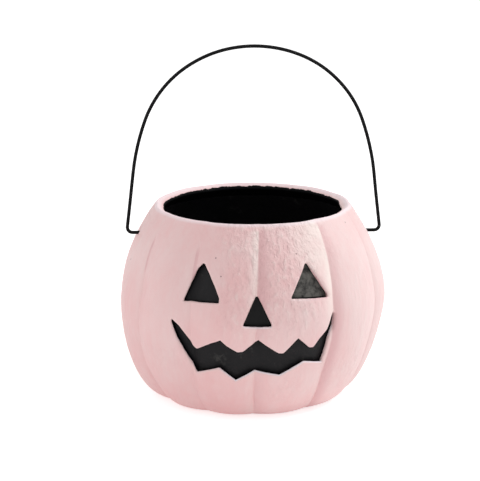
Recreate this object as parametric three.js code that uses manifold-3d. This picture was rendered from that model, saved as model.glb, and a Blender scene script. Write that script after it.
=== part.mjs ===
// A moulded paper-pulp pumpkin bucket with a cut-out face, a black lining and a wire bail.
// Millimetres, +Z up. The origin is the middle of the base, the face looks along -Y,
// and the bail swings about the X direction. Angles are in degrees.

import * as THREE from 'three';
import { mergeVertices } from 'three/addons/utils/BufferGeometryUtils.js';
import Module from 'manifold-3d';

const wasm = await Module();
wasm.setup();

// Body: heights are above the table, radii are taken over the crests of the lobes
const bucketHeight = 155.5;
const bellyRadius = 108.4;
const bellyHeight = 81.5;
const baseRadius = 68.5;
const heelFullness = 0.91;
const heelRise = 1.25;
const rimRadius = 78.3;
const shoulderPower = 1.84;

// The moulded heel sits a little to one side, and comes true towards the belly
const heelShift = 3.2;
const heelShiftFrom = 20;
const heelShiftTo = 100;

// Lobes, with a crease between each two. Creases are angles from the middle of the face
// towards +X, and the two lobes to the right of the middle one are broader than the rest.
const creases = [-180, -150, -120, -90, -60, -30, 0, 34.5, 66, 90, 120, 150, 180];
const lobeCount = creases.length - 1;
const creaseDepth = 3;
const creaseDepthAtRim = 0.9;
const creaseFadeStart = 100;
const creaseSoftness = 0.08;
const crestFlatness = 0.8;

// Wall and lining
const wallThickness = 4;
const liningThickness = 2;
const fitGap = 0.3;
const liningOutside = wallThickness + fitGap;
const liningInside = liningOutside + liningThickness;

// Rim: a band that falls inwards from the outer edge to the mouth, as wide as wall and lining
const mouthRadius = rimRadius - liningInside;
const rimFall = 2.9;
const rimRounding = 1.2;
const lipHeight = 8;

// Bail, from the top down: a round crown, a tighter shoulder, a soft bend and a straight leg,
// then a sharp corner at the hole and a tail that is bent down inside. Leans are from upright.
const wireDiameter = 2.5;
const hingeBelowRim = 24;
const hingeHeight = bucketHeight - hingeBelowRim;
const bailRise = 150.5;
const crownRadius = 96.5;
const crownHalfAngle = 32;
const shoulderLean = 19.7;
const softBendRadius = 194;
const legLean = 6.9;
const legStandOff = 10.7;
const cornerRadius = 4.2;
const innerBendRadius = 3;
const tailStandOff = 6.2;
const tailLength = 8;
const holeClearance = 0.35;

// The bail has slid a little to the right in its holes
const bailSlide = 0.8;

// Face: each window is drawn on the belly as [along, up] from a datum on the middle crease.
// Along is measured round the body at its mean radius over the face, which lies a little
// inside the belly's crests. Each window runs between two lines.
const faceAboveBelly = 0.5;
const faceDatumHeight = bellyHeight + faceAboveBelly;
const faceDepthInBelly = 5;
const faceRadius = bellyRadius - faceDepthInBelly;
const windows = {
  leftEye: {
    upper: [
      [-60.8, 17.6], [-57.2, 28.6], [-54, 38.2], [-52.6, 41.4], [-48.3, 45.5],
      [-46.5, 45.2], [-40.5, 38], [-35.3, 30.3], [-31, 21.6],
    ],
    lower: [[-60.8, 16.2], [-45, 17.1], [-31, 18]],
  },
  rightEye: {
    upper: [
      [24.5, 22.2], [30.9, 32.9], [35.6, 40], [39.2, 45.2], [41.5, 46],
      [45.6, 42.6], [49.6, 36.8], [53.9, 28], [56.7, 20.9],
    ],
    lower: [[24.5, 21], [39.5, 19.9], [56.7, 18.4]],
  },
  nose: {
    upper: [[-12, 2.1], [-5.9, 17.3], [-3.2, 22.7], [-1.2, 22.7], [1.8, 17.1], [8.9, 2]],
    lower: [[-12, 0.8], [-1.6, -0.6], [8.9, 0.4]],
  },
  mouth: {
    upper: [
      [-69.8, 1.6], [-63, -3.5], [-56.2, -12], [-51.4, -18.6], [-47.8, -20.8], [-35.9, -14.2],
      [-28.5, -11], [-23.8, -15.3], [-15.3, -20.8], [-11.2, -20.5], [-6.8, -16.8], [0, -11],
      [5.4, -14.9], [16.2, -21.9], [19.6, -22.1], [30, -10.3], [40.4, -19.8], [44, -19.9],
      [48.6, -13], [55, -6.5], [59.4, 3.4], [61, 5.4], [62.2, 4.4],
    ],
    lower: [
      [-69.8, -1.2], [-64.8, -13.7], [-48.7, -41], [-29, -34.4], [-16, -44.9], [-1, -36.8],
      [18.8, -40.8], [37.1, -30.5], [55.3, -34.4], [57.6, -23], [58.6, -14], [61.7, -5.5], [62.2, 1.5],
    ],
  },
};
const windowStep = 8;

// Facets
const stepsPerLobe = 6;
const bellyRings = 8;
const shoulderRings = 5;
const wireSides = 10;
const holeSides = 16;
const degreesPerBendStep = 9;

const steps = lobeCount * stepsPerLobe;
const radians = THREE.MathUtils.degToRad;

// How far the creases cut into the skin at a height
function creaseDepthAt(height) {
  const fade = THREE.MathUtils.smoothstep(height, creaseFadeStart, bucketHeight);
  return THREE.MathUtils.lerp(creaseDepth, creaseDepthAtRim, fade);
}

// The angle that is reached after a number of lobes, counted from the back of the body
function angleAfter(lobes) {
  const lobe = Math.min(Math.floor(lobes), lobeCount - 1);
  return radians(THREE.MathUtils.lerp(creases[lobe], creases[lobe + 1], lobes - lobe));
}

// 1 in the bottom of a crease and 0 on the crest of a lobe, with a narrow rounded V between
function creaseShape(lobes) {
  const rise = (across) => Math.hypot(across, creaseSoftness) ** crestFlatness;
  return (rise(1) - rise(Math.sin(lobes * Math.PI))) / (rise(1) - rise(0));
}

// How far the body sits to one side at a height
function shiftAt(height) {
  return heelShift * (THREE.MathUtils.smoothstep(height, heelShiftFrom, heelShiftTo) - 1);
}

// The outer skin below the belly, from the edge of the flat base at 0 to the belly at 1
function heelPoint(turn) {
  const angle = Math.max(0, turn) * Math.PI / 2;
  return new THREE.Vector2(
    baseRadius + (bellyRadius - baseRadius) * Math.sin(angle) ** heelFullness,
    bellyHeight * (1 - Math.cos(angle) ** heelRise),
  );
}

// The outer skin above the belly draws in by a power of the height
function shoulderPoint(height) {
  const up = Math.max(0, (height - bellyHeight) / (bucketHeight - bellyHeight));
  return new THREE.Vector2(bellyRadius - (bellyRadius - rimRadius) * up ** shoulderPower, height);
}

// A place on one of these curves, with the way out of the skin there
function station(curve, at) {
  const nudge = 1e-3;
  const point = curve(at);
  const along = curve(at + nudge).sub(curve(at - nudge));
  return {
    radius: point.x,
    height: point.y,
    normal: new THREE.Vector2(along.y, -along.x).normalize(),
    crease: creaseDepthAt(point.y),
    shift: shiftAt(point.y),
  };
}

// The same place on a skin that lies deeper in the wall
function inset(place, depth) {
  return {
    radius: place.radius - depth * place.normal.x,
    height: place.height - depth * place.normal.y,
    crease: place.crease,
    shift: place.shift,
  };
}

function between(from, to, share) {
  return {
    radius: THREE.MathUtils.lerp(from.radius, to.radius, share),
    height: THREE.MathUtils.lerp(from.height, to.height, share),
    crease: THREE.MathUtils.lerp(from.crease, to.crease, share),
    shift: THREE.MathUtils.lerp(from.shift, to.shift, share),
  };
}

// Radius of a skin in the shoulder at a height, in the bottom of a crease
function radiusInCrease(height, depth) {
  let outside = station(shoulderPoint, height);
  for (let pass = 0; pass < 6; pass++) {
    outside = station(shoulderPoint, height + depth * outside.normal.y);
  }
  return inset(outside, depth).radius - outside.crease;
}

// Stations of the outer skin from the edge of the base up to the underside of the lip
const lipUnderside = bucketHeight - lipHeight;
const wallStations = [];
for (let i = 0; i < bellyRings; i++) {
  wallStations.push(station(heelPoint, i / bellyRings));
}
for (let i = 0; i <= shoulderRings; i++) {
  const height = THREE.MathUtils.lerp(bellyHeight, lipUnderside, i / shoulderRings);
  wallStations.push(station(shoulderPoint, height));
}

// A place on the body, turned by a number of lobes from its back
function onBody(place, lobes) {
  const angle = angleAfter(lobes);
  const radius = place.radius - place.crease * creaseShape(lobes);
  return new THREE.Vector3(place.shift + radius * Math.sin(angle), -radius * Math.cos(angle), place.height);
}

function closedGeometry(points, triangles) {
  const geometry = new THREE.BufferGeometry();
  geometry.setFromPoints(points);
  geometry.setIndex(triangles.flat());
  return geometry;
}

// A closed skin from a section whose first and last points lie on the axis
function turnSection(section) {
  const points = [];
  const triangles = [];
  const rings = section.length - 2;
  const corner = (ring, step) => 1 + ring * steps + step % steps;
  points.push(new THREE.Vector3(0, 0, section[0].height));
  for (const place of section.slice(1, -1)) {
    for (let step = 0; step < steps; step++) {
      points.push(onBody(place, step / stepsPerLobe));
    }
  }
  points.push(new THREE.Vector3(0, 0, section.at(-1).height));
  const last = points.length - 1;
  for (let step = 0; step < steps; step++) {
    triangles.push([0, corner(0, step + 1), corner(0, step)]);
    for (let ring = 0; ring + 1 < rings; ring++) {
      const [a, b] = [corner(ring, step), corner(ring, step + 1)];
      const [c, d] = [corner(ring + 1, step + 1), corner(ring + 1, step)];
      triangles.push([a, b, c], [a, c, d]);
    }
    triangles.push([corner(rings - 1, step), corner(rings - 1, step + 1), last]);
  }
  return closedGeometry(points, triangles);
}

function toSolid(geometry) {
  const bare = geometry.clone();
  bare.deleteAttribute('normal');
  bare.deleteAttribute('uv');
  const merged = mergeVertices(bare, 1e-5);
  return new wasm.Manifold(new wasm.Mesh({
    numProp: 3,
    vertProperties: new Float32Array(merged.attributes.position.array),
    triVerts: new Uint32Array(merged.index.array),
  }));
}

function toGeometry(solid) {
  const mesh = solid.getMesh();
  const geometry = new THREE.BufferGeometry();
  geometry.setAttribute('position', new THREE.BufferAttribute(mesh.vertProperties, mesh.numProp));
  geometry.setIndex(new THREE.BufferAttribute(mesh.triVerts, 1));
  return geometry;
}

// Height of a line of [along, up] points at a place along it
function heightOnLine(line, along) {
  const next = Math.max(1, line.findIndex(([at]) => at >= along));
  const [fromAlong, fromUp] = line[next - 1];
  const [toAlong, toUp] = line[next];
  return THREE.MathUtils.mapLinear(along, fromAlong, toAlong, fromUp, toUp);
}

// The cutter of a window: a bar bent round the body, whose sides all point at the axis
function windowCutter({ upper, lower }) {
  const [insideRadius, outsideRadius] = [faceRadius / 2, faceRadius * 2];
  const corners = [...upper, ...lower].map(([along]) => along).sort((a, b) => a - b);
  const slices = [corners[0]];
  for (const along of corners) {
    const from = slices.at(-1);
    const parts = Math.ceil((along - from) / windowStep);
    for (let part = 1; part <= parts; part++) {
      slices.push(THREE.MathUtils.lerp(from, along, part / parts));
    }
  }
  const points = [];
  for (const along of slices) {
    const angle = along / faceRadius;
    const [bottom, top] = [lower, upper].map((line) => faceDatumHeight + heightOnLine(line, along));
    for (const [radius, height] of [
      [insideRadius, bottom], [outsideRadius, bottom], [outsideRadius, top], [insideRadius, top],
    ]) {
      points.push(new THREE.Vector3(radius * Math.sin(angle), -radius * Math.cos(angle), height));
    }
  }
  const last = 4 * (slices.length - 1);
  const triangles = [[0, 1, 2], [0, 2, 3], [last, last + 2, last + 1], [last, last + 3, last + 2]];
  for (let slice = 0; slice + 1 < slices.length; slice++) {
    for (let side = 0; side < 4; side++) {
      const [a, b] = [4 * slice + side, 4 * slice + (side + 1) % 4];
      triangles.push([a, a + 4, b + 4], [a, b + 4, b]);
    }
  }
  return closedGeometry(points, triangles);
}

// The two holes that the ends of the bail turn in, drilled in one line right through
function bailHoles() {
  const radius = wireDiameter / 2 + holeClearance;
  const geometry = new THREE.CylinderGeometry(radius, radius, 2 * bellyRadius, holeSides);
  geometry.rotateZ(Math.PI / 2);
  geometry.translate(0, 0, hingeHeight);
  return geometry;
}

// The bucket's wall: its base, lobed skin and lip, with the face cut through it
function pulpShell() {
  const top = wallStations.at(-1);
  const inner = wallStations.map((place) => inset(place, wallThickness)).reverse();
  const rimPoint = (radius, height) => ({ radius, height, crease: creaseDepthAtRim, shift: 0 });
  const section = [
    { radius: 0, height: 0 },
    ...wallStations,
    station(shoulderPoint, bucketHeight - lipHeight / 2),
    station(shoulderPoint, bucketHeight - rimRounding),
    rimPoint(rimRadius - rimRounding, bucketHeight),
    rimPoint(mouthRadius + rimRounding, bucketHeight - rimFall),
    rimPoint(mouthRadius, bucketHeight - rimFall - rimRounding),
    inset(top, liningInside),
    ...inner,
    { radius: 0, height: wallThickness },
  ];
  let solid = toSolid(turnSection(section));
  for (const outline of Object.values(windows)) {
    solid = solid.subtract(toSolid(windowCutter(outline)));
  }
  return toGeometry(solid.subtract(toSolid(bailHoles())));
}

// The lining: it follows the wall inside, ends under the lip and shows through the face
function blackLining() {
  const [below, top] = wallStations.slice(-2);
  const length = Math.hypot(top.radius - below.radius, top.height - below.height);
  const skin = (depth) => [
    ...wallStations.slice(0, -1).map((place) => inset(place, depth)),
    between(inset(below, depth), inset(top, depth), 1 - fitGap / length),
  ];
  const section = [
    { radius: 0, height: liningOutside },
    ...skin(liningOutside),
    ...skin(liningInside).reverse(),
    { radius: 0, height: liningInside },
  ];
  const solid = toSolid(turnSection(section));
  return toGeometry(solid.subtract(toSolid(bailHoles())));
}

// A wire is laid out as it is bent: straights and bends in one plane.
// The heading is 0 towards +X and grows clockwise as the face is looked at.
function startWire(x, z) {
  return [{ x, z, heading: 0 }];
}

function runStraight(wire, length) {
  const { x, z, heading } = wire.at(-1);
  wire.push({ x: x + length * Math.cos(heading), z: z - length * Math.sin(heading), heading });
}

function bendTo(wire, radius, heading) {
  const start = wire.at(-1);
  const turn = heading - start.heading;
  const side = Math.sign(turn);
  const count = Math.ceil(Math.abs(turn) / radians(degreesPerBendStep));
  for (let i = 1; i <= count; i++) {
    const now = start.heading + turn * i / count;
    wire.push({
      x: start.x + side * radius * (Math.sin(now) - Math.sin(start.heading)),
      z: start.z - side * radius * (Math.cos(start.heading) - Math.cos(now)),
      heading: now,
    });
  }
}

// Half of the bail, from its crown down to the tail inside the bucket
function halfBail() {
  const crownEnd = radians(crownHalfAngle);
  const shoulderEnd = radians(90 - shoulderLean);
  const leg = radians(90 - legLean);
  const inwards = Math.PI;
  const legLine = radiusInCrease(hingeHeight, 0) + legStandOff;
  const tailLine = radiusInCrease(hingeHeight, liningInside) - tailStandOff;
  // The shoulder's radius and the leg's length are what is left to reach the hinge
  const across = (radius, from, to) => radius * (Math.sin(to) - Math.sin(from));
  const down = (radius, from, to) => radius * (Math.cos(from) - Math.cos(to));
  const acrossLeft = legLine - across(crownRadius, 0, crownEnd) - across(softBendRadius, shoulderEnd, leg);
  const downLeft = bailRise - down(crownRadius, 0, crownEnd) - down(softBendRadius, shoulderEnd, leg);
  const acrossPerRadius = across(1, crownEnd, shoulderEnd);
  const downPerRadius = down(1, crownEnd, shoulderEnd);
  const scale = acrossPerRadius * Math.sin(leg) - downPerRadius * Math.cos(leg);
  const shoulderRadius = (acrossLeft * Math.sin(leg) - downLeft * Math.cos(leg)) / scale;
  const legLength = (acrossPerRadius * downLeft - downPerRadius * acrossLeft) / scale;
  const cornerTangent = cornerRadius * Math.tan((inwards - leg) / 2);

  const wire = startWire(0, hingeHeight + bailRise);
  bendTo(wire, crownRadius, crownEnd);
  bendTo(wire, shoulderRadius, shoulderEnd);
  bendTo(wire, softBendRadius, leg);
  runStraight(wire, legLength - cornerTangent);
  bendTo(wire, cornerRadius, inwards);
  runStraight(wire, wire.at(-1).x - tailLine - innerBendRadius);
  bendTo(wire, innerBendRadius, Math.PI / 2);
  runStraight(wire, tailLength - innerBendRadius);
  return wire;
}

// One round wire through both holes
function bailWire() {
  const right = halfBail();
  const left = right.slice(1).reverse().map(({ x, z, heading }) => ({ x: -x, z, heading: -heading }));
  const line = [...left, ...right];
  const radius = wireDiameter / 2;
  const points = [];
  const triangles = [];
  for (const { x, z, heading } of line) {
    for (let side = 0; side < wireSides; side++) {
      const turn = side / wireSides * 2 * Math.PI;
      const lift = radius * Math.cos(turn);
      points.push(new THREE.Vector3(
        x + bailSlide + lift * Math.sin(heading),
        radius * Math.sin(turn),
        z + lift * Math.cos(heading),
      ));
    }
  }
  const rings = line.length;
  for (let side = 0; side < wireSides; side++) {
    const next = (side + 1) % wireSides;
    for (let ring = 0; ring + 1 < rings; ring++) {
      const [a, b] = [ring * wireSides + side, ring * wireSides + next];
      triangles.push([a, b + wireSides, b], [a, a + wireSides, b + wireSides]);
    }
  }
  for (let side = 1; side + 1 < wireSides; side++) {
    const last = (rings - 1) * wireSides;
    triangles.push([0, side, side + 1], [last, last + side + 1, last + side]);
  }
  return closedGeometry(points, triangles);
}

function subPart(name, geometry, color, roughness) {
  const flat = geometry.toNonIndexed();
  flat.computeVertexNormals();
  const mesh = new THREE.Mesh(flat, new THREE.MeshStandardMaterial({ color, roughness, metalness: 0 }));
  mesh.name = name;
  return mesh;
}

const bucket = new THREE.Group();
bucket.add(subPart('pulp_shell', pulpShell(), 0xeac9c7, 0.85));
bucket.add(subPart('black_lining', blackLining(), 0x1b1a1b, 0.7));

const pumpkinBucket = new THREE.Group();
pumpkinBucket.add(bucket);
pumpkinBucket.add(subPart('wire_bail', bailWire(), 0x161617, 0.45));

export default pumpkinBucket;
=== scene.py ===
# %% [markdown]
# # A pumpkin bucket of moulded pulp
#
# The real bucket is a shell of paper pulp, pressed in a mould with twelve lobes, painted pink
# outside and black inside. Its face is cut through the pulp, and the black skin inside shows
# through. One bent wire is its handle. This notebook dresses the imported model, piece by piece.

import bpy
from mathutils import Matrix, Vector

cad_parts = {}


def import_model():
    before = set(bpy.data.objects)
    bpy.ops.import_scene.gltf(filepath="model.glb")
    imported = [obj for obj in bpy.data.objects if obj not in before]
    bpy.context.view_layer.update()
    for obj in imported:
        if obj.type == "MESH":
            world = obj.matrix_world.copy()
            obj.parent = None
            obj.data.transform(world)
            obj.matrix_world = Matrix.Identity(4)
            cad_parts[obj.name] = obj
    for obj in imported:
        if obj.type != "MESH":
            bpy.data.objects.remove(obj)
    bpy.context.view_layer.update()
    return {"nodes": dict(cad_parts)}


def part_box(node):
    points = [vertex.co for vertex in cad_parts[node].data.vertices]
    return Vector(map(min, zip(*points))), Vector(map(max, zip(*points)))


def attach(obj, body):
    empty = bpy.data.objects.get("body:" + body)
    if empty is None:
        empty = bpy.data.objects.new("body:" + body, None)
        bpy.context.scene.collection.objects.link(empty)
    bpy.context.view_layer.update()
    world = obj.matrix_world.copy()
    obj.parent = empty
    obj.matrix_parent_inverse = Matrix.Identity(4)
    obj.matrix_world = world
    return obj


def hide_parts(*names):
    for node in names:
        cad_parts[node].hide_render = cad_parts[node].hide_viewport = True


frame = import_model()
print("Packed nodes:", ", ".join(sorted(frame["nodes"])))

# %% Tools
import math
from collections import namedtuple

import bpy
import numpy as np
from mathutils import Vector
from mathutils.geometry import delaunay_2d_cdt

scene = bpy.context.scene


def placed(name, data):
    """A new object in the scene, from a mesh, a lamp or a camera."""
    made = bpy.data.objects.new(name, data)
    scene.collection.objects.link(made)
    return made


print("Blender", bpy.app.version_string)

# %% [markdown]
# ## Sizes
#
# A maker thinks of such a bucket in millimetres, so the sizes below are in millimetres, and one
# factor turns them into metres where a mesh is made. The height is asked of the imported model,
# and the rest repeats the mould's own sizes.

# %% Sizes of the mould
MM = 0.001
_, shell_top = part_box("pulp_shell")
bucket_height = shell_top.z / MM
belly_radius = 108.4
belly_height = 81.5
base_radius = 68.5
heel_fullness = 0.91
heel_rise = 1.25
rim_radius = 78.3
shoulder_power = 1.84

heel_shift = 3.2
heel_shift_from = 20
heel_shift_to = 100

creases = [-180, -150, -120, -90, -60, -30, 0, 34.5, 66, 90, 120, 150, 180]
lobe_count = len(creases) - 1
crease_depth = 3
crease_depth_at_rim = 0.9
crease_fade_start = 100
crease_softness = 0.05
crease_pinch = 0.4
pinch_sharpness = 9.0
lining_softness = 0.35
crest_flatness = 0.8
lumps_in_a_metre = 45.0

# The crease at -60 degrees is deeper at its foot
deep_crease_lobe = 4
deep_crease_gain = 0.8
deep_crease_fade = (12, 45)

wall_thickness = 4
lining_thickness = 2
fit_gap = 0.3
lining_outside = wall_thickness + fit_gap
lining_inside = lining_outside + lining_thickness
mouth_radius = rim_radius - lining_inside
rim_fall = 2.9
rim_rounding = 1.2
lip_height = 8
print(f"Bucket height {bucket_height:.1f} mm, mouth radius {mouth_radius:.1f} mm")

# %% [markdown]
# ## Sums on nodes
#
# Materials and Geometry Nodes both do their arithmetic with Math nodes, which are slow to place
# by hand. A small class wraps a node's output, so that Python's own signs add those nodes: a line
# such as `1 - mask * 0.5` then builds two of them. Every other node comes from one method.

# %% Sums on nodes
class Output:
    """A node's output that can be added, multiplied and so on."""

    def __init__(self, tree, socket):
        self.tree = tree
        self.socket = socket

    def math(self, operation, *terms):
        return self.tree.node("ShaderNodeMath", dict(enumerate(terms)), {"operation": operation})

    def larger(self, other):
        return self.math("MAXIMUM", self, other)

    def step(self, low, high):
        """0 below low and 1 above high, with a smooth rise between."""
        sockets = {"Value": self, "From Min": low, "From Max": high}
        return self.tree.node("ShaderNodeMapRange", sockets, {"interpolation_type": "SMOOTHSTEP"})

    def fall(self, low, high):
        """1 below low and 0 above high, with a smooth fall between."""
        return 1 - self.step(low, high)

    def also(self, name):
        """Another output of the same node."""
        return Output(self.tree, self.socket.node.outputs[name])


def add_sign(name, operation):
    """Lets one of Python's signs place a Math node, with an output on either side of it."""
    def before(self, other):
        return self.math(operation, self, other)

    def after(self, other):
        return self.math(operation, other, self)

    setattr(Output, f"__{name}__", before)
    setattr(Output, f"__r{name}__", after)


signs = {"add": "ADD", "sub": "SUBTRACT", "mul": "MULTIPLY", "truediv": "DIVIDE", "pow": "POWER"}
for name, operation in signs.items():
    add_sign(name, operation)


class Tree:
    """A node tree of a material or of Geometry Nodes."""

    def __init__(self, tree):
        self.tree = tree
        self.nodes = tree.nodes

    def node(self, kind, sockets=None, settings=None, output=0):
        """Places a node, sets it, links what goes in, and returns one of its outputs."""
        made = self.nodes.new(kind)
        for name, value in (settings or {}).items():
            setattr(made, name, value)
        for name, value in (sockets or {}).items():
            if isinstance(value, Output):
                self.tree.links.new(value.socket, made.inputs[name])
            else:
                made.inputs[name].default_value = value
        return Output(self, made.outputs[output])

    def split(self, vector):
        """The three parts of a vector."""
        first = self.node("ShaderNodeSeparateXYZ", {0: vector})
        return first, first.also("Y"), first.also("Z")

    def mix(self, factor, low, high):
        """A colour from low to high."""
        return self.node("ShaderNodeMix", {0: factor, 6: low, 7: high}, {"data_type": "RGBA"}, 2)

    def vector(self, operation, *terms):
        return self.node("ShaderNodeVectorMath", dict(enumerate(terms)), {"operation": operation})

    def noise(self, place, scale, detail=2.0, roughness=0.5, output=0):
        sockets = {"Vector": place, "Scale": scale, "Detail": detail, "Roughness": roughness}
        return self.node("ShaderNodeTexNoise", sockets, output=output)


print("Node tools ready")

# %% [markdown]
# ## The mould's section
#
# If the lobes were pressed flat, every level of the bucket would be a circle. So the section is
# laid out first, as points from the flat base over the heel and the belly up to the rim. Each
# row taken from it knows how deep the creases are there, and how far the mould has slipped to
# one side. A formula keeps the scene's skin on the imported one, at any fineness.

# %% The mould's section
def smooth_rise(value, low, high):
    share = np.clip((value - low) / (high - low), 0, 1)
    return share * share * (3 - 2 * share)


section_samples = 600
lip_underside = bucket_height - lip_height
turn = np.linspace(0, math.pi / 2, section_samples)
heel = np.stack([
    base_radius + (belly_radius - base_radius) * np.sin(turn) ** heel_fullness,
    belly_height * (1 - np.clip(np.cos(turn), 0, 1) ** heel_rise),
], axis=1)
up = np.linspace(0, 1, section_samples)[1:]
shoulder = np.stack([
    belly_radius - (belly_radius - rim_radius) * up ** shoulder_power,
    belly_height + (bucket_height - belly_height) * up,
], axis=1)
skin_line = np.concatenate([heel, shoulder])
skin_way = np.gradient(skin_line, axis=0)
skin_way /= np.linalg.norm(skin_way, axis=1, keepdims=True)
skin_out = np.stack([skin_way[:, 1], -skin_way[:, 0]], axis=1)
skin_length = np.concatenate([[0], np.cumsum(np.linalg.norm(np.diff(skin_line, axis=0), axis=1))])


def skin_rows(low, high, spacing, depth):
    """Rows of [radius, height, crease, shift] on the skin, at a depth in the wall."""
    start, end = np.interp([low, high], skin_line[:, 1], skin_length)
    count = math.ceil((end - start) / spacing)
    places = np.linspace(start, end, count + 1)
    table = np.concatenate([skin_line, skin_out], axis=1)
    radius, height, out_across, out_up = (np.interp(places, skin_length, c) for c in table.T)
    fade = smooth_rise(height, crease_fade_start, bucket_height)
    crease = crease_depth + (crease_depth_at_rim - crease_depth) * fade
    shift = heel_shift * (smooth_rise(height, heel_shift_from, heel_shift_to) - 1)
    return np.stack([radius - depth * out_across, height - depth * out_up, crease, shift], axis=1)


print(f"The skin is {skin_length[-1]:.0f} mm long from the base to the rim")

# %% [markdown]
# ## Columns
#
# The creases of a hand-made mould are neither even nor quite upright. So a place round the
# bucket is counted in lobes from the back, 0 to 12, and a table says at which angle each crease
# runs at a given height. The columns of the mesh stand close together in the narrow creases and
# far apart on the broad crests.

# %% Columns round the bucket
steps_per_lobe = 26
crowding = 0.72
wander_heights = [0, 35, 60, 97, 127, 155]
wander = {
    0: [-0.2, -0.6, -1.2, -1.3, -0.5, 0.4],
    34.5: [-0.8, -1.8, -0.6, -0.4, 0.9, 1.4],
    66: [0.0, 0.8, 0.4, -0.6, 1.6, 2.0],
    -60: [2.5, -1.2, -1.6, 0.4, -1.8, -2.0],
    -30: [1.5, 0.8, 0.4, -0.2, -0.5, -0.8],
}


def crease_table(heights):
    """The angle of every crease in degrees, at each of many heights."""
    still = np.zeros(len(wander_heights))
    rows = [crease + np.interp(heights, wander_heights, wander.get(crease, still)) for crease in creases]
    return np.array(rows)


def angle_of(lobes, heights):
    table = crease_table(heights)
    lobe = np.clip(np.floor(lobes).astype(int), 0, lobe_count - 1)
    share = lobes - lobe
    at = np.arange(len(lobe))
    return np.radians(table[lobe, at] * (1 - share) + table[lobe + 1, at] * share)


def lobes_of(angles, heights):
    table = crease_table(heights)
    degrees = np.degrees(angles)
    lobe = np.clip((table <= degrees).sum(0) - 1, 0, lobe_count - 1)
    at = np.arange(len(lobe))
    return lobe + (degrees - table[lobe, at]) / (table[lobe + 1, at] - table[lobe, at])


share = np.arange(steps_per_lobe) / steps_per_lobe
crowded = share - crowding * np.sin(2 * math.pi * share) / (2 * math.pi)
columns = (np.arange(lobe_count)[:, None] + crowded[None, :]).ravel()
print(len(columns), "columns, more than half of them in or near a crease")

# %% [markdown]
# ## The face's outline
#
# Each window of the face lies between an upper and a lower line, drawn on the belly in
# millimetres along and up from the middle crease, as a maker marks it on the skin. The corners
# are rounded, because pulp tears at a sharp one. Teeth that point into a window are rounder
# than the window's own tips. No corner takes more than about half of a short side.

# %% The face's outline
face_above_belly = 0.5
face_datum = belly_height + face_above_belly
face_depth_in_belly = 5
face_radius = belly_radius - face_depth_in_belly
windows = {
    "left_eye": (
        [(-60.8, 17.6), (-57.2, 28.6), (-54, 38.2), (-52.6, 41.4), (-48.3, 45.5),
         (-46.5, 45.2), (-40.5, 38), (-35.3, 30.3), (-31, 21.6)],
        [(-60.8, 16.2), (-45, 17.1), (-31, 18)],
    ),
    "right_eye": (
        [(24.5, 22.2), (30.9, 32.9), (35.6, 40), (39.2, 45.2), (41.3, 45.6),
         (43.9, 41.8), (47.2, 36.2), (52.2, 27.6), (56.2, 20.6)],
        [(24.5, 21), (39.5, 19.9), (56.2, 18.6)],
    ),
    "nose": (
        [(-12, 2.1), (-5.9, 17.3), (-3.2, 22.7), (-1.2, 22.7), (1.8, 17.1), (8.9, 2)],
        [(-12, 0.8), (-1.6, -0.6), (8.9, 0.4)],
    ),
    "mouth": (
        [(-69.8, 1.6), (-63, -3.5), (-56.2, -12), (-51.4, -18.6), (-47.8, -20.8), (-35.9, -14.2),
         (-28.5, -11), (-23.8, -15.3), (-15.3, -20.8), (-11.2, -20.5), (-6.8, -16.8), (0, -11),
         (5.4, -14.9), (16.2, -21.9), (19.6, -22.1), (30, -10.3), (40.4, -19.8), (44, -19.9),
         (48.6, -13), (55, -6.5), (59.4, 3.4), (61, 5.4), (62.2, 4.4)],
        [(-69.8, -1.2), (-64.8, -13.7), (-48.7, -41), (-29, -34.4), (-16, -44.9), (-1, -36.8),
         (18.8, -40.8), (37.1, -30.5), (55.3, -34.4), (57.6, -23), (58.6, -14), (61.7, -5.5), (62.2, 1.5)],
    ),
}
tooth_radius = 2.3
tip_radius = 0.7
longest_share = 0.48
corner_step = 14
outline_step = 1.1


def curve(start, bend, end, count):
    """Points on a curve that leaves start towards bend and comes to end from bend."""
    start, bend, end = np.array([start, bend, end])
    shares = np.linspace(0, 1, count + 1)
    return [(1 - t) ** 2 * start + 2 * t * (1 - t) * bend + t ** 2 * end for t in shares]


def rounded_outline(corners):
    """A closed outline with its corners rounded, as points about outline_step apart."""
    points = []
    count = len(corners)
    for i, corner in enumerate(corners):
        before, after = corners[i - 1] - corner, corners[(i + 1) % count] - corner
        reach_before, reach_after = np.linalg.norm(before), np.linalg.norm(after)
        before, after = before / reach_before, after / reach_after
        tooth = before[0] * after[1] - before[1] * after[0] > 0
        half = math.acos(float(np.clip(before @ after, -1, 1))) / 2
        wanted = (tooth_radius if tooth else tip_radius) / math.tan(half)
        cut = min(wanted, longest_share * reach_before, longest_share * reach_after)
        start, end = corner + cut * before, corner + cut * after
        pieces = max(1, math.ceil((math.pi - 2 * half) / math.radians(corner_step)))
        points += curve(start, corner, end, pieces)
    filled = []
    for here, there in zip(points, points[1:] + points[:1]):
        parts = max(1, math.ceil(np.linalg.norm(there - here) / outline_step))
        filled += [here + (there - here) * part / parts for part in range(parts)]
    return np.array(filled)


# Each outline runs anticlockwise, as the face is looked at
face_outlines = {
    name: rounded_outline(np.array(lower + upper[::-1], float) + (0, face_datum))
    for name, (upper, lower) in windows.items()
}
for name, outline in face_outlines.items():
    print(name, len(outline), "points")

# %% [markdown]
# ## The holes for the wire
#
# Each end of the wire turns in through a plain round hole, drilled along the line on which the
# bail swings. On the skin a hole is marked in the same way as a window. Paint makes the wire a
# little thicker than the bare one, and the hole is wider by as much.

# %% The holes for the wire
wire_diameter = 2.5
wire_coat = 0.15
hinge_below_rim = 24
hinge_height = bucket_height - hinge_below_rim
hole_clearance = 0.35
hole_radius = wire_diameter / 2 + wire_coat + hole_clearance
hole_points = 20


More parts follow.
